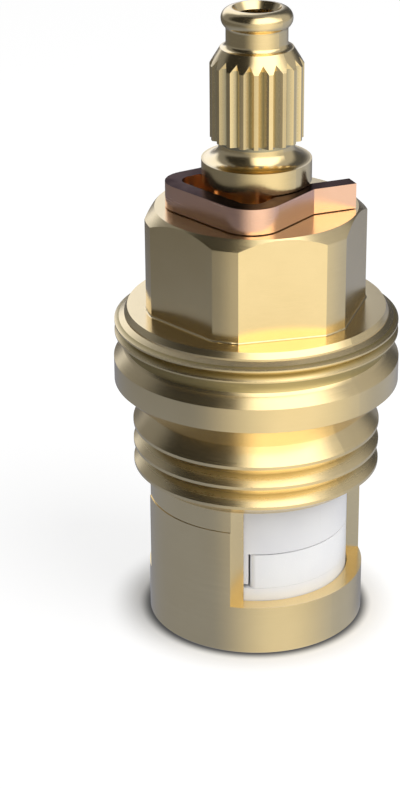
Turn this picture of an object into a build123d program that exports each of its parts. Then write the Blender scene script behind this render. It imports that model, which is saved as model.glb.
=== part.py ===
from build123d import *
import os
from math import cos, radians, sin, tan

# Quarter-turn faucet stem: a brass body with a hexagon, a turned thread and a windowed sleeve,
# a splined spindle, and a pair of ceramic discs that the spindle turns through a driver.
# Millimetres, +Z up. The origin is the centre of the sleeve's bottom rim, the windows face +X and -X,
# and the valve is drawn closed. Radii end in _r, heights above the rim end in _z, lengths in neither.

# Sleeve and its two windows
sleeve_r = 9.29
sleeve_wall = 1.29
rim_chamfer = 0.12
sill_height = 4.38
window_flat_distance = 4.97
window_run_out = 0.05
step_height = 11.35
step_depth = 0.07

# Thread, drawn as full rings: one half inch pipe size
crest_r = 10.4775
thread_pitch = 1.814
ring_count = 3
lowest_crest_height = 14.37
crest_flat = 0.26
flank_angle = 41.7
lead_in_angle = 37.6
relief_depth = 1.12
relief_angle = 50.5

# Sealing cone, band and the O-ring groove above it, whose floor runs out in a cone to the band's edge
seat_cone_angle = 41.6
band_r = 12.0
band_height = 2.13
band_edge_break = 0.1
groove_depth = 1.16
groove_width = 2.27
groove_cone_angle = 45.0
groove_fillet = 1.23

# Flange under the hexagon: a bevel, a small step and a slope, then a rim with a V groove round it
flange_r = 11.9
flange_thickness = 2.2
flange_bevel_width = 0.25
flange_bevel_drop = 0.5
flange_step = 0.17
flange_slope_width = 0.83
flange_slope_drop = 0.48
rim_height = 0.15
rim_groove_height = 0.77
rim_groove_depth = 0.43

# Hexagon
hex_across_flats = 17.0
hex_corner_reach = 0.75
hex_face_step = 0.1
hex_height = 8.63
hex_chamfer_angle = 44.0
hex_root_fillet = 0.15

# Spindle above the body
journal_r = 4.52
clip_groove_r = 3.55
collar_height = 1.82
collar_dish_radius = 1.3
spindle_neck_r = 3.06
spindle_neck_height = 1.76
spline_r = 3.8
spline_depth = 0.4
spline_teeth = 20
spline_length = 6.13
spline_crest_width = 0.3
spline_cone_height = 1.33
shoulder_r = 2.98
shoulder_land = 0.02
throat_r = 2.51
bead_lip = 0.39
bead_round = 0.85
bead_root_fillet = 0.3
bead_middle_height = 2.36
screw_hole_r = 1.65
screw_hole_depth = 9.0
countersink_r = 2.0
countersink_depth = 0.6

# Spindle inside the body
o_ring_section = 1.24
o_ring_groove_width = 1.6
upper_o_ring_depth = 3.0
o_ring_spacing = 3.2
flange_pocket_step = 1.1
flange_pocket_height = 4.8
shoulder_depth = 10.7
spindle_flange_thickness = 1.95
washer_thickness = 0.45
hub_r = 5.4
wing_half_angle = 20.0
wing_thickness = 1.7
stop_reach = 1.6
turn_range = 90.0
tang_width = 3.0
tang_length = 8.4
tang_engagement = 3.6

# Retaining clip: one bent strip
strip_width = 1.4
strip_height = 2.1
clip_front_left_angle = 43.0
clip_back_left_angle = 57.0
clip_right_angle = 54.0
clip_front_radius = 2.0
clip_back_radius = 1.2
clip_left_radius = 1.85
clip_vertex_radius = 0.8
clip_right_length = 7.5
clip_end_length = 4.0
clip_tail_length = 3.95
clip_tail_angle = 23.0
clip_turn = 45.6

# Ceramic discs, driver and inlet seal
disc_thickness = 3.14
lobe_half_angle = 48.0
lobe_corner_radius = 0.5
disc_hub_r = 3.2
fixed_disc_thickness = 2.8
fixed_disc_above_sill = 1.14
port_half_angle = 42.0
port_inner_r = 2.1
port_outer_r = 6.9
port_corner_radius = 0.7
key_width = 2.4
key_reach = 0.5
driver_skirt_height = 6.0
driver_hub_r = 6.3
leg_angle = 8.0
leg_wall = 3.4
leg_lift = 0.4
seal_recess = 0.15
seal_wall = 0.7
seal_lip_chamfer = 0.2
support_wall = 0.3
support_recess = 0.5

# Clearances
stem_clearance = 0.08
disc_clearance = 0.1
lapped_gap = 0.02
lobe_gap = 0.1
leg_gap_angle = 0.9
clip_lift = 0.08
clip_front_left_gap = 1.37
clip_back_left_gap = 0.1
clip_right_gap = 0.3
collar_gap = 0.08
clip_groove_drop = 0.07
flange_clearance = 0.3
washer_gap = 0.05
o_ring_gap = 0.04
wing_clearance = 0.4
stop_clearance_angle = 0.4
wing_headroom = 0.3
driver_gap = 0.4
tang_clearance = 0.12
key_clearance = 0.1
seal_gap = 0.02

# How far a cutting block runs past what it cuts, and how closely an edge is matched when it is picked
cut_margin = 0.5
match = 0.001

# Heights and radii that follow from the sizes above
bore_r = sleeve_r - sleeve_wall
upper_sleeve_r = sleeve_r - step_depth
flank_rise = tan(radians(flank_angle))
valley_r = crest_r - (thread_pitch - crest_flat) / 2 / flank_rise
top_crest_z = lowest_crest_height + (ring_count - 1) * thread_pitch
lead_in_height = (crest_r - upper_sleeve_r) * tan(radians(lead_in_angle))
thread_bottom_z = lowest_crest_height - crest_flat / 2 - lead_in_height
window_top_z = thread_bottom_z + window_run_out
relief_r = crest_r - relief_depth
relief_z = top_crest_z + crest_flat / 2 + relief_depth * tan(radians(relief_angle))
band_bottom_z = relief_z + (band_r - relief_r) * tan(radians(seat_cone_angle))
band_top_z = band_bottom_z + band_height
groove_floor_r = band_r - groove_depth
groove_cone_z = band_top_z + groove_depth * tan(radians(groove_cone_angle))
flange_bottom_z = band_top_z + groove_width
flange_top_z = flange_bottom_z + flange_thickness
flange_slope_r = flange_r - flange_slope_width
flange_step_z = flange_top_z - flange_bevel_drop
flange_slope_z = flange_step_z - flange_step
rim_top_z = flange_slope_z - flange_slope_drop
rim_groove_z = rim_top_z - rim_height - rim_groove_height / 2
hex_corner_r = hex_across_flats / 2 + hex_corner_reach
hex_face_r = hex_across_flats / 2 - hex_face_step
hex_top_z = flange_top_z + hex_height

clip_bottom_z = hex_top_z + clip_lift
clip_top_z = clip_bottom_z + strip_height
clip_groove_z = hex_top_z - clip_groove_drop
collar_bottom_z = clip_top_z + collar_gap
collar_top_z = collar_bottom_z + collar_height
spline_bottom_z = collar_top_z + spindle_neck_height
spline_root_r = spline_r - spline_depth
spline_top_z = spline_bottom_z + spline_length
shoulder_z = spline_top_z + spline_cone_height
throat_fillet = shoulder_r - throat_r - shoulder_land
bead_r = throat_r + bead_lip
bead_centre_r = bead_r - bead_round
bead_middle_z = shoulder_z + bead_middle_height
bead_root_z = bead_middle_z - (bead_round ** 2 - (throat_r - bead_centre_r) ** 2) ** 0.5
spindle_top_z = bead_middle_z + bead_round

stem_bore_r = journal_r + stem_clearance
flange_pocket_r = bore_r - flange_pocket_step
shoulder_face_z = hex_top_z - shoulder_depth
pocket_bottom_z = shoulder_face_z - flange_pocket_height
washer_top_z = shoulder_face_z - washer_gap
washer_bottom_z = washer_top_z - washer_thickness
spindle_flange_top_z = washer_bottom_z - washer_gap
spindle_flange_r = flange_pocket_r - flange_clearance
spindle_flange_bottom_z = spindle_flange_top_z - spindle_flange_thickness
wing_top_z = pocket_bottom_z - wing_headroom
wing_bottom_z = wing_top_z - wing_thickness
wing_r = bore_r - wing_clearance
wing_direction = 180.0 - turn_range / 2
stop_half_angle = 90.0 - turn_range / 2 - wing_half_angle - stop_clearance_angle
stop_inner_r = bore_r - stop_reach
o_ring_r = stem_bore_r - o_ring_gap - o_ring_section / 2
o_ring_groove_r = o_ring_r - o_ring_section / 2 - o_ring_gap
upper_o_ring_z = hex_top_z - upper_o_ring_depth
lower_o_ring_z = upper_o_ring_z - o_ring_spacing

fixed_disc_top_z = sill_height + fixed_disc_above_sill
fixed_disc_bottom_z = fixed_disc_top_z - fixed_disc_thickness
disc_r = bore_r - disc_clearance
moving_disc_bottom_z = fixed_disc_top_z + lapped_gap
moving_disc_top_z = moving_disc_bottom_z + disc_thickness
driver_bottom_z = moving_disc_top_z + lobe_gap
driver_shoulder_z = driver_bottom_z + driver_skirt_height
driver_top_z = wing_bottom_z - driver_gap
leg_bottom_z = fixed_disc_top_z + leg_lift
tang_bottom_z = driver_top_z - tang_engagement
key_r = bore_r + key_reach
seal_top_z = fixed_disc_bottom_z - seal_gap
seal_inner_r = disc_r - seal_wall
support_r = seal_inner_r - seal_gap


def outline(corners):
    """Flat face in the XZ plane from its (radius, height) corners."""
    return make_face(Polyline([(radius, 0, height) for radius, height in corners], close=True))


def rounded(profile, corner, size):
    """The profile with a fillet of this size at its vertex nearest to the (radius, height) corner."""
    vertex = profile.vertices().sort_by_distance((corner[0], 0, corner[1]))[0]
    return fillet(vertex, size)


def turned(corners, arc=360.0):
    """Solid turned about Z from its (radius, height) corners."""
    return revolve(outline(corners), Axis.Z, arc)


def ring(inner, outer, bottom, top):
    """Plain ring, or a disc where the inner radius is zero."""
    return turned([(inner, bottom), (outer, bottom), (outer, top), (inner, top)])


def sector(inner, outer, bottom, top, middle, half_angle):
    """Block of a ring that spans half_angle each side of the direction middle, in degrees from +X."""
    corners = [(inner, bottom), (outer, bottom), (outer, top), (inner, top)]
    return Rot(0, 0, middle - half_angle) * turned(corners, 2 * half_angle)


def block(x_low, x_high, y_low, y_high, bottom, top):
    """Box between two corners."""
    centre = Pos((x_low + x_high) / 2, (y_low + y_high) / 2, (bottom + top) / 2)
    return centre * Box(x_high - x_low, y_high - y_low, top - bottom)


def from_axis(edge):
    """Distance of an edge's middle from the Z axis."""
    middle = edge @ 0.5
    return (middle.X ** 2 + middle.Y ** 2) ** 0.5


def edges_at(solid, height, nearest, furthest):
    """Level edges at this height whose middles lie between two distances from the axis."""
    level = solid.edges().filter_by_position(Axis.Z, height - match, height + match)
    return [e for e in level if nearest - match < from_axis(e) < furthest + match]


def upright_edges(solid, distance):
    """Straight edges parallel to Z that stand at this distance from it."""
    return [e for e in solid.edges().filter_by(Axis.Z) if abs(from_axis(e) - distance) < match]


def both_sides(solid):
    """The solid and its copy turned half a turn about Z."""
    return solid + Rot(0, 0, 180) * solid


def body_corners():
    """Corners of the body's outside, from the rim up to the face under the hexagon."""
    corners = [(0, 0), (sleeve_r - rim_chamfer, 0), (sleeve_r, rim_chamfer)]
    corners += [(sleeve_r, step_height), (upper_sleeve_r, step_height), (upper_sleeve_r, thread_bottom_z)]
    for ring_number in range(ring_count):
        crest_z = lowest_crest_height + ring_number * thread_pitch
        if ring_number:
            corners.append((valley_r, crest_z - thread_pitch / 2))
        corners += [(crest_r, crest_z - crest_flat / 2), (crest_r, crest_z + crest_flat / 2)]
    corners += [(relief_r, relief_z), (band_r - band_edge_break, band_bottom_z)]
    corners += [(band_r, band_bottom_z + band_edge_break), (band_r, band_top_z)]
    corners += [(groove_floor_r, groove_cone_z), (groove_floor_r, flange_bottom_z)]
    corners += [(flange_r, flange_bottom_z), (flange_r, rim_groove_z - rim_groove_height / 2)]
    corners.append((flange_r - rim_groove_depth, rim_groove_z))
    corners += [(flange_r, rim_groove_z + rim_groove_height / 2), (flange_r, rim_top_z)]
    corners += [(flange_slope_r, flange_slope_z), (flange_slope_r, flange_step_z)]
    corners += [(flange_slope_r - flange_bevel_width, flange_top_z), (0, flange_top_z)]
    return corners


def hexagon():
    """Spanner hexagon, its corners turned round and its top edge chamfered by one cone."""
    prism = Pos(0, 0, flange_top_z) * extrude(
        RegularPolygon(hex_across_flats / 2, 6, major_radius=False), hex_height
    )
    chamfer_drop = (hex_corner_r - hex_face_r) * tan(radians(hex_chamfer_angle))
    envelope = turned(
        [
            (0, flange_top_z),
            (hex_corner_r, flange_top_z),
            (hex_corner_r, hex_top_z - chamfer_drop),
            (hex_face_r, hex_top_z),
            (0, hex_top_z),
        ]
    )
    return prism & envelope


def body_cavity():
    """Everything bored out of the body: disc chamber, flange pocket, stem bore and the disc's keyways."""
    chamber = turned(
        [
            (0, 0),
            (bore_r + rim_chamfer, 0),
            (bore_r, rim_chamfer),
            (bore_r, pocket_bottom_z),
            (flange_pocket_r, pocket_bottom_z),
            (flange_pocket_r, shoulder_face_z),
            (stem_bore_r, shoulder_face_z),
            (stem_bore_r, hex_top_z),
            (0, hex_top_z),
        ]
    )
    slot_half = key_width / 2 + key_clearance
    slot_r = key_r + key_clearance
    keyway = block(-slot_half, slot_half, 0, slot_r, 0, fixed_disc_top_z)
    return chamber + both_sides(keyway)


def make_body():
    profile = rounded(outline(body_corners()), (groove_floor_r, groove_cone_z), groove_fillet)
    blank = revolve(profile, Axis.Z) + hexagon()
    blank = fillet(edges_at(blank, flange_top_z, hex_across_flats / 2, hex_corner_r), hex_root_fillet)
    reach = sleeve_r + cut_margin
    window = block(window_flat_distance, reach, -reach, reach, sill_height, window_top_z)
    root_r = bore_r + sleeve_wall / 2
    stop = sector(stop_inner_r, root_r, wing_bottom_z, pocket_bottom_z, 90, stop_half_angle)
    return blank - body_cavity() - both_sides(window) + both_sides(stop)


def spline_grooves():
    """The V grooves between the spindle's teeth; they run out through the cone above."""
    crest_half = spline_crest_width / 2
    groove_half = spline_r * radians(360 / spline_teeth) / 2 - crest_half
    beyond = spline_r + spline_depth
    spread = groove_half * (beyond - spline_root_r) / spline_depth
    groove = make_face(Polyline((spline_root_r, 0), (beyond, spread), (beyond, -spread), close=True))
    grooves = PolarLocations(0, spline_teeth) * groove
    return Pos(0, 0, spline_bottom_z) * extrude(Sketch() + grooves, spline_length + spline_cone_height)


def spindle_corners():
    """Corners of the spindle's outside from its wings up to the bead's flat top."""
    corners = [(0, wing_bottom_z), (hub_r, wing_bottom_z), (hub_r, spindle_flange_bottom_z)]
    corners += [(spindle_flange_r, spindle_flange_bottom_z), (spindle_flange_r, spindle_flange_top_z)]
    corners.append((journal_r, spindle_flange_top_z))
    for ring_z in (lower_o_ring_z, upper_o_ring_z):
        low = ring_z - o_ring_groove_width / 2
        high = ring_z + o_ring_groove_width / 2
        corners += [(journal_r, low), (o_ring_groove_r, low), (o_ring_groove_r, high), (journal_r, high)]
    corners += [(journal_r, clip_groove_z), (clip_groove_r, clip_groove_z), (clip_groove_r, collar_bottom_z)]
    corners += [(journal_r, collar_bottom_z), (journal_r, collar_top_z), (spindle_neck_r, collar_top_z)]
    corners += [(spindle_neck_r, spline_bottom_z), (spline_r, spline_bottom_z), (spline_r, spline_top_z)]
    corners += [(shoulder_r, shoulder_z), (throat_r, shoulder_z), (throat_r, bead_middle_z)]
    corners += [(bead_centre_r, bead_middle_z), (bead_centre_r, spindle_top_z), (0, spindle_top_z)]
    return corners


def make_spindle():
    bead = Plane.XZ * Pos(bead_centre_r, bead_middle_z) * Circle(bead_round)
    profile = outline(spindle_corners()) + bead
    profile = rounded(profile, (spindle_neck_r, collar_top_z), collar_dish_radius)
    profile = rounded(profile, (throat_r, shoulder_z), throat_fillet)
    profile = rounded(profile, (throat_r, bead_root_z), bead_root_fillet)
    solid = revolve(profile, Axis.Z) - spline_grooves()
    solid += both_sides(sector(0, wing_r, wing_bottom_z, wing_top_z, wing_direction, wing_half_angle))
    half_length = tang_length / 2
    half_width = tang_width / 2
    tang = block(-half_length, half_length, -half_width, half_width, tang_bottom_z, wing_bottom_z)
    hole = ring(0, screw_hole_r, spindle_top_z - screw_hole_depth, spindle_top_z)
    countersink = turned(
        [
            (0, spindle_top_z - countersink_depth),
            (screw_hole_r, spindle_top_z - countersink_depth),
            (countersink_r, spindle_top_z),
            (0, spindle_top_z),
        ]
    )
    return solid + tang - hole - countersink


def crossing(first, second):
    """Corner where two legs of the clip meet, each given by its normal's direction and its distance."""
    angle_a, distance_a = radians(first[0]), first[1]
    angle_b, distance_b = radians(second[0]), second[1]
    spread = sin(angle_b - angle_a)
    x = (distance_a * sin(angle_b) - distance_b * sin(angle_a)) / spread
    y = (distance_b * cos(angle_a) - distance_a * cos(angle_b)) / spread
    return Vector(x, y)


def along(start, direction, distance):
    """Point at this distance from the start in this direction, in degrees."""
    return start + Vector(cos(radians(direction)), sin(radians(direction))) * distance


def make_clip():
    """Strip bent round the spindle's groove: a loop of legs with one tail that points outwards."""
    middle_r = clip_groove_r + strip_width / 2
    front_left = (180 + clip_front_left_angle, middle_r + clip_front_left_gap)
    back_left = (180 - clip_back_left_angle, middle_r + clip_back_left_gap)
    front_right = (clip_right_angle - 90, middle_r + clip_right_gap)
    back_right = (90 - clip_right_angle, middle_r + clip_right_gap)
    front_corner = crossing(front_left, front_right)
    left_corner = crossing(front_left, back_left)
    back_corner = crossing(back_left, back_right)
    back_end = along(back_corner, -clip_right_angle, clip_end_length)
    vertex = along(front_corner, clip_right_angle, clip_right_length)
    tail_end = along(vertex, clip_tail_angle, clip_tail_length)
    middle_line = FilletPolyline(
        back_end,
        back_corner,
        left_corner,
        front_corner,
        vertex,
        tail_end,
        radius=[clip_back_radius, clip_left_radius, clip_front_radius, clip_vertex_radius],
    )
    strip = trace(middle_line, line_width=strip_width)
    return Pos(0, 0, clip_bottom_z) * Rot(0, 0, clip_turn) * extrude(strip, strip_height)


def make_o_ring(height):
    return Pos(0, 0, height) * Torus(o_ring_r, o_ring_section / 2)


def make_slip_washer():
    return ring(stem_bore_r, spindle_flange_r, washer_bottom_z, washer_top_z)


def make_driver():
    """White driver: a skirt in the sleeve, a slotted hub above and four legs beside the disc's lobes."""
    solid = ring(0, disc_r, driver_bottom_z, driver_shoulder_z)
    solid += ring(0, driver_hub_r, driver_shoulder_z, driver_top_z)
    half_length = tang_length / 2 + tang_clearance
    half_width = tang_width / 2 + tang_clearance
    floor_z = tang_bottom_z - tang_clearance
    solid -= block(-half_length, half_length, -half_width, half_width, floor_z, driver_top_z)
    leg_middle = lobe_half_angle + leg_gap_angle + leg_angle / 2
    for side in (leg_middle, -leg_middle):
        leg = sector(disc_r - leg_wall, disc_r, leg_bottom_z, driver_bottom_z, side, leg_angle / 2)
        solid += both_sides(leg)
    return solid


def make_moving_disc():
    """Ceramic bow tie: two lobes that cover the fixed disc's ports when the valve is closed."""
    lobe = sector(0, disc_r, moving_disc_bottom_z, moving_disc_top_z, 0, lobe_half_angle)
    lobe = fillet(upright_edges(lobe, disc_r), lobe_corner_radius)
    return ring(0, disc_hub_r, moving_disc_bottom_z, moving_disc_top_z) + both_sides(lobe)


def make_fixed_disc():
    """Ceramic seat with two ports, keyed in the sleeve."""
    port = sector(port_inner_r, port_outer_r, fixed_disc_bottom_z, fixed_disc_top_z, 0, port_half_angle)
    port = fillet(upright_edges(port, port_outer_r) + upright_edges(port, port_inner_r), port_corner_radius)
    key = block(-key_width / 2, key_width / 2, 0, key_r, fixed_disc_bottom_z, fixed_disc_top_z)
    blank = ring(0, disc_r, fixed_disc_bottom_z, fixed_disc_top_z) + both_sides(key)
    return blank - both_sides(port)


def make_seal():
    """Rubber ring between the fixed disc and the tap's seat; its lip stands inside the sleeve's rim."""
    lip_z = seal_recess + seal_lip_chamfer
    return turned(
        [
            (seal_inner_r, lip_z),
            (seal_inner_r + seal_lip_chamfer, seal_recess),
            (disc_r - seal_lip_chamfer, seal_recess),
            (disc_r, lip_z),
            (disc_r, seal_top_z),
            (seal_inner_r, seal_top_z),
        ]
    )


def make_support_ring():
    return ring(support_r - support_wall, support_r, support_recess, seal_top_z)


pieces = {
    "body": make_body(),
    "spindle": make_spindle(),
    "retaining_clip": make_clip(),
    "upper_spindle_o_ring": make_o_ring(upper_o_ring_z),
    "lower_spindle_o_ring": make_o_ring(lower_o_ring_z),
    "slip_washer": make_slip_washer(),
    "disc_driver": make_driver(),
    "moving_disc": make_moving_disc(),
    "fixed_disc": make_fixed_disc(),
    "inlet_seal": make_seal(),
    "seal_support_ring": make_support_ring(),
}

os.makedirs("parts", exist_ok=True)
for name, piece in pieces.items():
    export_step(piece, f"parts/{name}.step")
    print(name, "volume", round(piece.volume, 3), "solids", len(piece.solids()))
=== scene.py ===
import math
from collections import namedtuple
import bpy
from mathutils import Matrix, Vector

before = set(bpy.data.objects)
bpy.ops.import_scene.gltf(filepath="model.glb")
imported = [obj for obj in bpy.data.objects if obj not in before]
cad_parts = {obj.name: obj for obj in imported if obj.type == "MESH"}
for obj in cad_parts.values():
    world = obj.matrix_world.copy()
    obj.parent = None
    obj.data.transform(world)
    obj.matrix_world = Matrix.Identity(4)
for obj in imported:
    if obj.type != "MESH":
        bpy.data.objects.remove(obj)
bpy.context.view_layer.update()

bpy.context.scene.view_settings.view_transform = "Standard"

# Lengths are in metres, and noise scales are per metre. The front is the side that the photograph
# shows, which stands at this turn about Z.
PHOTO_SIDE = math.radians(45.6)


# Shader helpers

# Colour sockets of a Mix node, whose names its other sockets have too
MIX_FIRST, MIX_SECOND, MIX_RESULT = 6, 7, 2

# A fine noise is mostly between the first two values, and a cloudy one between the other two
NOISE_LOW, NOISE_HIGH = 0.3, 0.7
CLOUDS_LOW, CLOUDS_HIGH = 0.35, 0.65

# Noise scale for a place that is stretched already
AS_STRETCHED = 1.0


class Shader:
    """A material with a Principled BSDF and small helpers for its nodes."""

    def __init__(self, name):
        self.material = bpy.data.materials.new(name)
        self.material.use_nodes = True
        self.nodes = self.material.node_tree.nodes
        self.links = self.material.node_tree.links
        self.surface = self.nodes["Principled BSDF"]
        coordinates = self.nodes.new("ShaderNodeTexCoord")
        self.place = coordinates.outputs["Object"]
        self.normal = coordinates.outputs["Normal"]

    def put(self, socket, value):
        """Gives a socket a plain value or another node's output."""
        if isinstance(value, bpy.types.NodeSocket):
            self.links.new(value, socket)
        else:
            socket.default_value = value

    def look(self, inputs):
        """Fills these inputs of the surface."""
        for name, value in inputs.items():
            self.put(self.surface.inputs[name], value)

    def math(self, operation, first, second=0.0):
        node = self.nodes.new("ShaderNodeMath")
        node.operation = operation
        self.put(node.inputs[0], first)
        self.put(node.inputs[1], second)
        return node.outputs[0]

    def times(self, first, second):
        return self.math("MULTIPLY", first, second)

    def weighed(self, first, second, share):
        """The two values mixed, with this share of the first."""
        return self.math("ADD", self.times(first, share), self.times(second, 1.0 - share))

    def split(self, vector):
        node = self.nodes.new("ShaderNodeSeparateXYZ")
        self.put(node.inputs[0], vector)
        return node.outputs

    def join(self, x, y, z):
        node = self.nodes.new("ShaderNodeCombineXYZ")
        for socket, value in zip(node.inputs, (x, y, z)):
            self.put(socket, value)
        return node.outputs[0]

    def noise(self, place, scale, detail=3.0, roughness=0.55):
        node = self.nodes.new("ShaderNodeTexNoise")
        self.put(node.inputs["Vector"], place)
        self.put(node.inputs["Scale"], scale)
        self.put(node.inputs["Detail"], detail)
        self.put(node.inputs["Roughness"], roughness)
        return node.outputs["Fac"]

    def span(self, value, low, high, to_low=0.0, to_high=1.0, kind="LINEAR"):
        """Maps a value from low..high to to_low..to_high, held at the ends."""
        node = self.nodes.new("ShaderNodeMapRange")
        node.interpolation_type = kind
        self.put(node.inputs["Value"], value)
        self.put(node.inputs["From Min"], low)
        self.put(node.inputs["From Max"], high)
        self.put(node.inputs["To Min"], to_low)
        self.put(node.inputs["To Max"], to_high)
        return node.outputs["Result"]

    def varied(self, middle, part, noise):
        """This middle value, up to this part of it lower or higher as the noise goes."""
        return self.span(noise, NOISE_LOW, NOISE_HIGH, middle * (1.0 - part), middle * (1.0 + part))

    def mix(self, factor, first, second):
        """Mixes two colours."""
        node = self.nodes.new("ShaderNodeMix")
        node.data_type = "RGBA"
        self.put(node.inputs["Factor"], factor)
        self.put(node.inputs[MIX_FIRST], first)
        self.put(node.inputs[MIX_SECOND], second)
        return node.outputs[MIX_RESULT]

    def bump(self, height, distance):
        node = self.nodes.new("ShaderNodeBump")
        self.put(node.inputs["Strength"], 1.0)
        self.put(node.inputs["Distance"], distance)
        self.put(node.inputs["Height"], height)
        return node.outputs["Normal"]

    def radius(self, x, y):
        return self.math("SQRT", self.math("ADD", self.times(x, x), self.times(y, y)))

    def round_axis(self):
        """Radius, angle and height of the point about the Z axis, as three values."""
        x, y, z = self.split(self.place)
        return self.radius(x, y), self.math("ARCTAN2", y, x), z

    def turn_from_front(self, x, y):
        """Turn of the point from the middle of the front round to the right, for a turned card."""
        return self.math("ARCTAN2", x, self.times(y, -1.0))

    def round_tangent(self):
        node = self.nodes.new("ShaderNodeTangent")
        node.direction_type = "RADIAL"
        node.axis = "Z"
        return node.outputs[0]


def rgba(red, green, blue):
    return (red, green, blue, 1.0)


def grey(level):
    return rgba(level, level, level)


# Materials

# Where painted shade darkens and greys a groove: full at the root's radius and gone at the open
# one, between two heights
Groove = namedtuple("Groove", "root_r open_r lowest highest most_dirt")
THREAD_ROOTS = Groove(0.0093, 0.0103, 0.0134, 0.0178, 0.8)
RIM_GROOVE = Groove(0.0116, 0.0119, 0.0250, 0.0275, 1.0)
SPLINE_ROOTS = Groove(0.0034, 0.0038, 0.0425, 0.0492, 1.0)
GREY_GROOVE_SHADE, BRASS_GROOVE_SHADE = rgba(0.5, 0.45, 0.3), rgba(0.5, 0.39, 0.17)
GROOVE_SHADE_ROUGHNESS = 0.15

# Lathe marks are stretched round the axis, and their scale that way is per radian
LATHE_MARKS_ACROSS, LATHE_MARKS_ROUND, LATHE_MARK_DEPTH = 9000.0, 0.7, 0.0000003
TARNISH_SCALE, TARNISH_LOW, TARNISH_HIGH = 160.0, 0.36, 0.66
BLOTCH_SCALE = 700.0
PATCHES_IN_TONE, MARKS_IN_GLOSS, GLOSS_CHANGE = 0.7, 0.6, 0.15

# Faces that face up (the strip's cut edges) get a painted dark reflection: it starts at one height
# of the normal and is full at another, and it thins to the third value below where the strip is
# patchy
STRIP_MARKS_ALONG, STRIP_MARKS_ACROSS, STRIP_MARK_DEPTH = 220.0, 7000.0, 0.0000002
STRIP_PATCH_SCALE, STRIP_GLOSS_CHANGE = 350.0, 0.1
PAINTED_DARK_TOP_COLOUR, PAINTED_DARK_TOP_TINT = rgba(0.09, 0.062, 0.058), grey(0.4)
DARK_TOP_STARTS, DARK_TOP_FULL = 0.7, 0.95
THIN_STARTS, THIN_FULL, DARK_TOP_THIN = 0.4, 0.65, 0.94

CLOUD_SCALE = 260.0

RUBBER_GRAIN_SCALE, RUBBER_GRAIN_DEPTH = 9000.0, 0.000004
RUBBER_SMOOTHEST, RUBBER_ROUGHEST = 0.45, 0.65
DUST_SCALE, DUST_LOW, DUST_HIGH = 500.0, 0.4, 0.8
CLEAN_RUBBER, DUSTY_RUBBER = rgba(0.02, 0.02, 0.022), rgba(0.05, 0.05, 0.055)


def groove_shade_share(m, radius, height, grooves):
    """How much painted groove shade a point gets."""
    share = 0.0
    for groove in grooves:
        depth = m.span(radius, groove.root_r, groove.open_r, groove.most_dirt, 0.0)
        above = m.math("GREATER_THAN", height, groove.lowest)
        below = m.math("LESS_THAN", height, groove.highest)
        share = m.math("MAXIMUM", share, m.times(depth, m.times(above, below)))
    return share


def turned_metal(name, bright, dull, roughness, anisotropy, grooves=(), groove_shade_colour=GREY_GROOVE_SHADE):
    """Metal off a lathe: fine marks round the axis, patchy tarnish, and painted shade in its
    grooves.
    """
    m = Shader(name)
    radius, angle, height = m.round_axis()
    lathe = m.join(
        m.times(radius, LATHE_MARKS_ACROSS),
        m.times(angle, LATHE_MARKS_ROUND),
        m.times(height, LATHE_MARKS_ACROSS),
    )
    marks = m.noise(lathe, AS_STRETCHED, detail=4.0, roughness=0.6)
    patches = m.noise(m.place, TARNISH_SCALE)
    blotch = m.noise(m.place, BLOTCH_SCALE, detail=4.0, roughness=0.7)
    tone = m.weighed(patches, marks, PATCHES_IN_TONE)
    clean = m.mix(m.span(tone, TARNISH_LOW, TARNISH_HIGH), dull, bright)
    # Painted shade in the grooves: a darker, greyer colour and more roughness at their roots
    groove_shade_amount = groove_shade_share(m, radius, height, grooves)
    gloss = m.varied(roughness, GLOSS_CHANGE, m.weighed(marks, blotch, MARKS_IN_GLOSS))
    m.look({
        "Base Color": m.mix(groove_shade_amount, clean, groove_shade_colour),
        "Roughness": m.math("ADD", gloss, m.times(groove_shade_amount, GROOVE_SHADE_ROUGHNESS)),
        "Normal": m.bump(marks, LATHE_MARK_DEPTH),
        "Metallic": 1.0,
        "Anisotropic": anisotropy,
        "Tangent": m.round_tangent(),
    })
    return m.material


def drawn_strip(name, bright, dull, roughness):
    """Copper-coloured strip: marks along it, softly dulled places and a painted dark reflection on
    its up-facing cut edges.
    """
    m = Shader(name)
    x, y, z = m.split(m.place)
    along = m.join(
        m.times(x, STRIP_MARKS_ALONG),
        m.times(y, STRIP_MARKS_ALONG),
        m.times(z, STRIP_MARKS_ACROSS),
    )
    marks = m.noise(along, AS_STRETCHED, detail=4.0, roughness=0.6)
    patches = m.noise(m.place, STRIP_PATCH_SCALE)
    clean = m.mix(m.span(patches, CLOUDS_LOW, CLOUDS_HIGH), dull, bright)
    # Painted dark reflection on faces that face up, thinned in patches
    facing_up = m.span(m.split(m.normal)[2], DARK_TOP_STARTS, DARK_TOP_FULL)
    thinned = m.span(patches, THIN_STARTS, THIN_FULL, 1.0, DARK_TOP_THIN)
    painted_dark_top = m.times(facing_up, thinned)
    m.look({
        "Base Color": m.mix(painted_dark_top, clean, PAINTED_DARK_TOP_COLOUR),
        "Specular Tint": m.mix(painted_dark_top, grey(1.0), PAINTED_DARK_TOP_TINT),
        "Roughness": m.varied(roughness, STRIP_GLOSS_CHANGE, marks),
        "Normal": m.bump(marks, STRIP_MARK_DEPTH),
        "Metallic": 1.0,
    })
    return m.material


def white_piece(name, light, shade, roughness, grain_scale, grain_depth):
    """White plastic or ceramic: a fine grain with faint cloudy shade."""
    m = Shader(name)
    grain = m.noise(m.place, grain_scale, detail=4.0, roughness=0.65)
    clouds = m.noise(m.place, CLOUD_SCALE, detail=2.0)
    m.look({
        "Base Color": m.mix(m.span(clouds, CLOUDS_LOW, CLOUDS_HIGH), shade, light),
        "Roughness": m.varied(roughness, GLOSS_CHANGE, grain),
        "Normal": m.bump(grain, grain_depth),
    })
    return m.material


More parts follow.
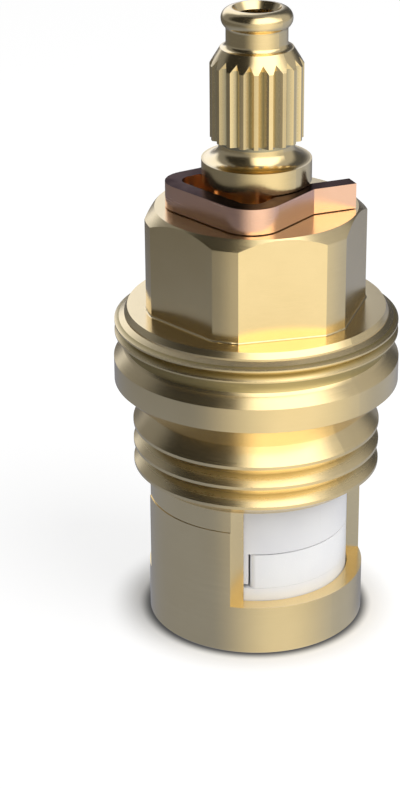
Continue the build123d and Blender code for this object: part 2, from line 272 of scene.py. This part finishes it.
def rubber(name):
    """Black rubber with a fine grain and a little dust."""
    m = Shader(name)
    grain = m.noise(m.place, RUBBER_GRAIN_SCALE)
    dust = m.noise(m.place, DUST_SCALE, detail=4.0, roughness=0.7)
    m.look({
        "Base Color": m.mix(m.span(dust, DUST_LOW, DUST_HIGH), CLEAN_RUBBER, DUSTY_RUBBER),
        "Roughness": m.span(grain, NOISE_LOW, NOISE_HIGH, RUBBER_SMOOTHEST, RUBBER_ROUGHEST),
        "Normal": m.bump(grain, RUBBER_GRAIN_DEPTH),
    })
    return m.material


BRIGHT_BRASS, DULL_BRASS = rgba(0.93, 0.74, 0.41), rgba(0.88, 0.69, 0.37)
body_brass = turned_metal(
    "body_brass", BRIGHT_BRASS, DULL_BRASS, roughness=0.23, anisotropy=0.15,
    grooves=(THREAD_ROOTS, RIM_GROOVE), groove_shade_colour=BRASS_GROOVE_SHADE,
)
spindle_brass = turned_metal(
    "spindle_brass", BRIGHT_BRASS, DULL_BRASS, roughness=0.19, anisotropy=0.1,
    grooves=(SPLINE_ROOTS,),
)
clip_copper = drawn_strip(
    "clip_copper", rgba(0.98, 0.63, 0.47), rgba(0.95, 0.59, 0.43), roughness=0.25,
)
driver_white = white_piece(
    "driver_white", rgba(0.86, 0.86, 0.87), rgba(0.82, 0.82, 0.84), roughness=0.42,
    grain_scale=5000.0, grain_depth=0.000003,
)
disc_white = white_piece(
    "disc_white", grey(0.93), rgba(0.9, 0.9, 0.91), roughness=0.25,
    grain_scale=9000.0, grain_depth=0.0000015,
)
washer_white = white_piece(
    "washer_white", rgba(0.84, 0.84, 0.83), rgba(0.79, 0.79, 0.78), roughness=0.45,
    grain_scale=4000.0, grain_depth=0.000003,
)
black_rubber = rubber("black_rubber")
support_steel = turned_metal(
    "support_steel", rgba(0.62, 0.62, 0.63), rgba(0.54, 0.54, 0.55), roughness=0.3, anisotropy=0.3,
)

LOOKS = {
    "body": body_brass,
    "spindle": spindle_brass,
    "retaining_clip": clip_copper,
    "upper_spindle_o_ring": black_rubber,
    "lower_spindle_o_ring": black_rubber,
    "slip_washer": washer_white,
    "disc_driver": driver_white,
    "moving_disc": disc_white,
    "fixed_disc": disc_white,
    "inlet_seal": black_rubber,
    "seal_support_ring": support_steel,
}
for node, look in LOOKS.items():
    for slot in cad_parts[node].material_slots:
        slot.material = look


# Camera: the place and direction that the rims, edges and upright lines in the photograph give.
# Lens and sensor are in millimetres and angles in degrees. Place and angles are those before the
# turn by PHOTO_SIDE.
CAMERA_LENS, CAMERA_SENSOR = 103.1, 36.0
CAMERA_YAW, CAMERA_PITCH, CAMERA_ROLL = -1.554, 24.095, 0.479
CAMERA_PLACE = (0.0, -0.17573, 0.09858)
NEAREST_SEEN, FARTHEST_SEEN = 0.005, 10.0


def photo_camera():
    data = bpy.data.cameras.new("photo_camera")
    data.lens = CAMERA_LENS
    data.sensor_width = CAMERA_SENSOR
    data.clip_start = NEAREST_SEEN
    data.clip_end = FARTHEST_SEEN
    camera = bpy.data.objects.new("photo_camera", data)
    bpy.context.scene.collection.objects.link(camera)
    yaw, pitch, roll = (math.radians(a) for a in (CAMERA_YAW, CAMERA_PITCH, CAMERA_ROLL))
    forward = Vector((
        math.sin(yaw) * math.cos(pitch),
        math.cos(yaw) * math.cos(pitch),
        -math.sin(pitch),
    ))
    right = Vector((math.cos(yaw), -math.sin(yaw), 0.0))
    down = forward.cross(right)
    right, down = (
        math.cos(roll) * right + math.sin(roll) * down,
        math.cos(roll) * down - math.sin(roll) * right,
    )
    stand = Matrix((right, -down, -forward)).transposed().to_4x4()
    stand.translation = Vector(CAMERA_PLACE)
    camera.matrix_world = Matrix.Rotation(PHOTO_SIDE, 4, "Z") @ stand
    return camera


bpy.context.scene.camera = photo_camera()


# Floor and world

FLOOR_HALF = 3.0
PALE_FLOOR, PAINTED_CONTACT_SHADOW = grey(0.9), grey(0.05)
# Painted contact shadow round the foot: the floor's colour is painted dark there and pale again at
# the second radius, and its glow is held back there, darkening it too, and full at the third
FOOT_R, CONTACT_SHADOW_R, SHADE_R = 0.0092, 0.0104, 0.0135
FLOOR_GLOW, GLOW_AT_FOOT, GLOW_IN_OPEN = 1.25, 0.05, 0.6
WORLD_LIGHT, WORLD_SHOWN = 0.45, 1.0


def stage_mesh(name, points, faces):
    mesh = bpy.data.meshes.new(name)
    mesh.from_pydata(points, [], faces)
    card = bpy.data.objects.new(name, mesh)
    bpy.context.scene.collection.objects.link(card)
    return card


def square(half, height):
    return [
        (-half, -half, height), (half, -half, height), (half, half, height), (-half, half, height),
    ]


def pale_floor():
    """A pale floor that takes shadows, with a painted contact shadow round the foot, and glows a
    little where it is seen or mirrored.
    """
    floor = stage_mesh("floor", square(FLOOR_HALF, 0.0), [(0, 1, 2, 3)])
    m = Shader("pale_floor")
    m.nodes.remove(m.surface)
    diffuse = m.nodes.new("ShaderNodeBsdfDiffuse")
    glow = m.nodes.new("ShaderNodeEmission")
    m.put(glow.inputs["Color"], grey(1.0))
    m.put(glow.inputs["Strength"], FLOOR_GLOW)
    path = m.nodes.new("ShaderNodeLightPath")
    shown = m.math("MAXIMUM", path.outputs["Is Camera Ray"], path.outputs["Is Glossy Ray"])
    shown = m.math("MAXIMUM", shown, path.outputs["Is Transmission Ray"])
    mixer = m.nodes.new("ShaderNodeMixShader")
    x, y, _ = m.split(m.place)
    distance = m.radius(x, y)
    # Painted contact shadow: dark floor colour at the foot, and less glow near it
    outside_contact_shadow = m.span(distance, FOOT_R, CONTACT_SHADOW_R, kind="SMOOTHSTEP")
    m.put(diffuse.inputs["Color"], m.mix(outside_contact_shadow, PAINTED_CONTACT_SHADOW, PALE_FLOOR))
    share = m.span(distance, FOOT_R, SHADE_R, GLOW_AT_FOOT, GLOW_IN_OPEN, "SMOOTHSTEP")
    m.put(mixer.inputs[0], m.times(shown, share))
    m.put(mixer.inputs[1], diffuse.outputs[0])
    m.put(mixer.inputs[2], glow.outputs[0])
    m.put(m.nodes["Material Output"].inputs["Surface"], mixer.outputs[0])
    floor.data.materials.append(m.material)


def studio_world():
    """White where the world is seen or mirrored, and weaker as a light."""
    world = bpy.data.worlds.new("studio")
    bpy.context.scene.world = world
    world.use_nodes = True
    nodes, links = world.node_tree.nodes, world.node_tree.links
    background = nodes["Background"]
    background.inputs["Color"].default_value = grey(1.0)
    path = nodes.new("ShaderNodeLightPath")
    shown = path.outputs["Is Camera Ray"]
    for name in ("Is Glossy Ray", "Is Transmission Ray"):
        larger = nodes.new("ShaderNodeMath")
        larger.operation = "MAXIMUM"
        links.new(shown, larger.inputs[0])
        links.new(path.outputs[name], larger.inputs[1])
        shown = larger.outputs[0]
    strength = nodes.new("ShaderNodeMapRange")
    strength.inputs["To Min"].default_value = WORLD_LIGHT
    strength.inputs["To Max"].default_value = WORLD_SHOWN
    links.new(shown, strength.inputs["Value"])
    links.new(strength.outputs["Result"], background.inputs["Strength"])


# What stands round the object for its metal to mirror: a grey tent with soft panels and dark flags
# in it. Directions are in degrees, turn from the middle of the front round to the right and rise
# from the floor up. A panel is full within core of its turn and gone at edge. Its four rises are
# where it starts, is full, is last full and has ended. Each panel covers those before it. Cold is
# how much more blue than red there is.
Panel = namedtuple("Panel", "turn core edge rises level cold")
TENT_R, TENT_ROWS, TENT_COLUMNS = 0.6, 24, 48
TENT_LOWEST_RISE, TENT_RISE_SPAN = -4.0, 93.9
TENT_LEVEL, TENT_COLD = 0.22, 0.25
PANELS = {
    "back_right_flag": Panel(148.0, 13.0, 30.0, (-10, -9, 50, 65), 0.08, 0.3),
    "left_flag": Panel(-60.0, 32.0, 54.0, (12, 22, 80, 88), 0.03, 0.0),
    "cool_back_panel": Panel(-160.0, 12.0, 30.0, (4, 12, 52, 64), 1.12, 0.3),
    "right_fill": Panel(100.0, 15.0, 45.0, (-10, -9, 70, 85), 0.45, 0.1),
    "softbox_foot": Panel(28.0, 15.0, 62.0, (-10, -9, 14, 20), 1.05, -0.15),
    "softbox": Panel(34.0, 28.0, 60.0, (14, 20, 68, 77), 2.1, -0.08),
}
GREEN_PART_OF_COLD = 0.25

# The board's shades: level and cold up to one distance from the axis and from another on, and the
# turn, core and edge of those that don't go all round
Shade = namedtuple("Shade", "near far near_end far_start")
BOARD_SHADE = Shade((0.26, 0.5), (0.14, 0.1), 0.050, 0.110)
BOARD_GLOW = Shade((0.76, -0.05), (1.04, -0.13), 0.022, 0.060)
BOARD_GLOW_SECTOR = (31.0, 6.0, 84.0)
BOARD_RIGHT, BOARD_RIGHT_SECTOR = (0.42, 0.42), (110.0, 15.0, 75.0)
BOARD_HEIGHT = 0.00002
UPRIGHT_FACE_R = 0.010


def tinted(level, cold):
    return rgba(level, level * (1.0 + GREEN_PART_OF_COLD * cold), level * (1.0 + cold))


def across(m, turn, middle, core, edge):
    """1 within core of this turn, falling softly to 0 at edge."""
    off = m.math("SUBTRACT", turn, math.radians(middle))
    away = m.math("ARCCOSINE", m.math("COSINE", off))
    return m.span(away, math.radians(core), math.radians(edge), 1.0, 0.0, "SMOOTHSTEP")


def panel_share(m, turn, rise, panel):
    start, full, last, end = (math.radians(degrees) for degrees in panel.rises)
    up = m.span(rise, start, full, 0.0, 1.0, "SMOOTHSTEP")
    down = m.span(rise, last, end, 1.0, 0.0, "SMOOTHSTEP")
    return m.times(across(m, turn, panel.turn, panel.core, panel.edge), m.times(up, down))


def graded(m, distance, shade):
    share = m.span(distance, shade.near_end, shade.far_start)
    return m.mix(share, tinted(*shade.near), tinted(*shade.far))


def reflector(name, points, faces):
    """A card that only mirrors see: not the camera, and it lights and shades nothing."""
    card = stage_mesh(name, points, faces)
    card.rotation_euler = (0.0, 0.0, PHOTO_SIDE)
    card.visible_camera = False
    card.visible_diffuse = False
    card.visible_transmission = False
    card.visible_shadow = False
    m = Shader(name)
    m.nodes.remove(m.surface)
    m.material.cycles.emission_sampling = "NONE"
    card.data.materials.append(m.material)
    return m


def reflect(m, colour):
    """Makes the card glow in this colour."""
    glow = m.nodes.new("ShaderNodeEmission")
    m.put(glow.inputs["Color"], colour)
    m.put(m.nodes["Material Output"].inputs["Surface"], glow.outputs[0])


def tent():
    """The tent, bright in front on the right and behind on the left."""
    points, faces = [], []
    for row in range(TENT_ROWS + 1):
        rise = math.radians(TENT_LOWEST_RISE + TENT_RISE_SPAN * row / TENT_ROWS)
        for column in range(TENT_COLUMNS):
            turn = math.tau * column / TENT_COLUMNS
            points.append((
                TENT_R * math.cos(rise) * math.sin(turn),
                -TENT_R * math.cos(rise) * math.cos(turn),
                TENT_R * math.sin(rise),
            ))
            if row:
                below = (row - 1) * TENT_COLUMNS
                here = below + TENT_COLUMNS
                after = (column + 1) % TENT_COLUMNS
                faces.append((below + column, below + after, here + after, here + column))
    m = reflector("reflector_tent", points, faces)
    x, y, z = m.split(m.place)
    turn = m.turn_from_front(x, y)
    rise = m.math("ARCSINE", m.math("DIVIDE", z, TENT_R))
    colour = tinted(TENT_LEVEL, TENT_COLD)
    for panel in PANELS.values():
        share = panel_share(m, turn, rise, panel)
        colour = m.mix(share, colour, tinted(panel.level, panel.cold))
    reflect(m, colour)


def ground_board():
    """A board on the floor, with a soft glow in front on the right, that upright faces mirror."""
    m = reflector("reflector_board", square(TENT_R, BOARD_HEIGHT), [(0, 1, 2, 3)])
    x, y, _ = m.split(m.place)
    turn = m.turn_from_front(x, y)
    distance = m.radius(x, y)
    # Turn in which an upright face at UPRIGHT_FACE_R mirrors this place: twice its own turn close
    # to the face, and its own turn far out
    close = m.math("MINIMUM", m.math("DIVIDE", UPRIGHT_FACE_R, distance), 1.0)
    seen = m.math("DIVIDE", m.times(turn, 2.0), m.math("SUBTRACT", 2.0, close))
    shade = graded(m, distance, BOARD_SHADE)
    colour = m.mix(across(m, seen, *BOARD_RIGHT_SECTOR), shade, tinted(*BOARD_RIGHT))
    glow = graded(m, distance, BOARD_GLOW)
    reflect(m, m.mix(across(m, seen, *BOARD_GLOW_SECTOR), colour, glow))


# Lamp

OBJECT_MIDDLE = Vector((0, 0, 0.025))


def soft_lamp(name, turn, rise, distance, size, power):
    """A round area lamp at this turn from the front and this rise, in degrees."""
    data = bpy.data.lights.new(name, "AREA")
    data.shape = "DISK"
    data.size = size
    data.energy = power
    lamp = bpy.data.objects.new(name, data)
    bpy.context.scene.collection.objects.link(lamp)
    turn, rise = math.radians(turn), math.radians(rise)
    away = Vector((
        math.cos(rise) * math.sin(turn),
        -math.cos(rise) * math.cos(turn),
        math.sin(rise),
    ))
    lamp.location = Matrix.Rotation(PHOTO_SIDE, 3, "Z") @ (away * distance)
    lamp.rotation_mode = "QUATERNION"
    lamp.rotation_quaternion = (OBJECT_MIDDLE - lamp.location).to_track_quat("-Z", "Y")
    lamp.visible_camera = False
    lamp.visible_glossy = False


pale_floor()
studio_world()
tent()
ground_board()
soft_lamp("key", turn=50.0, rise=50.0, distance=0.5, size=0.4, power=1.6)
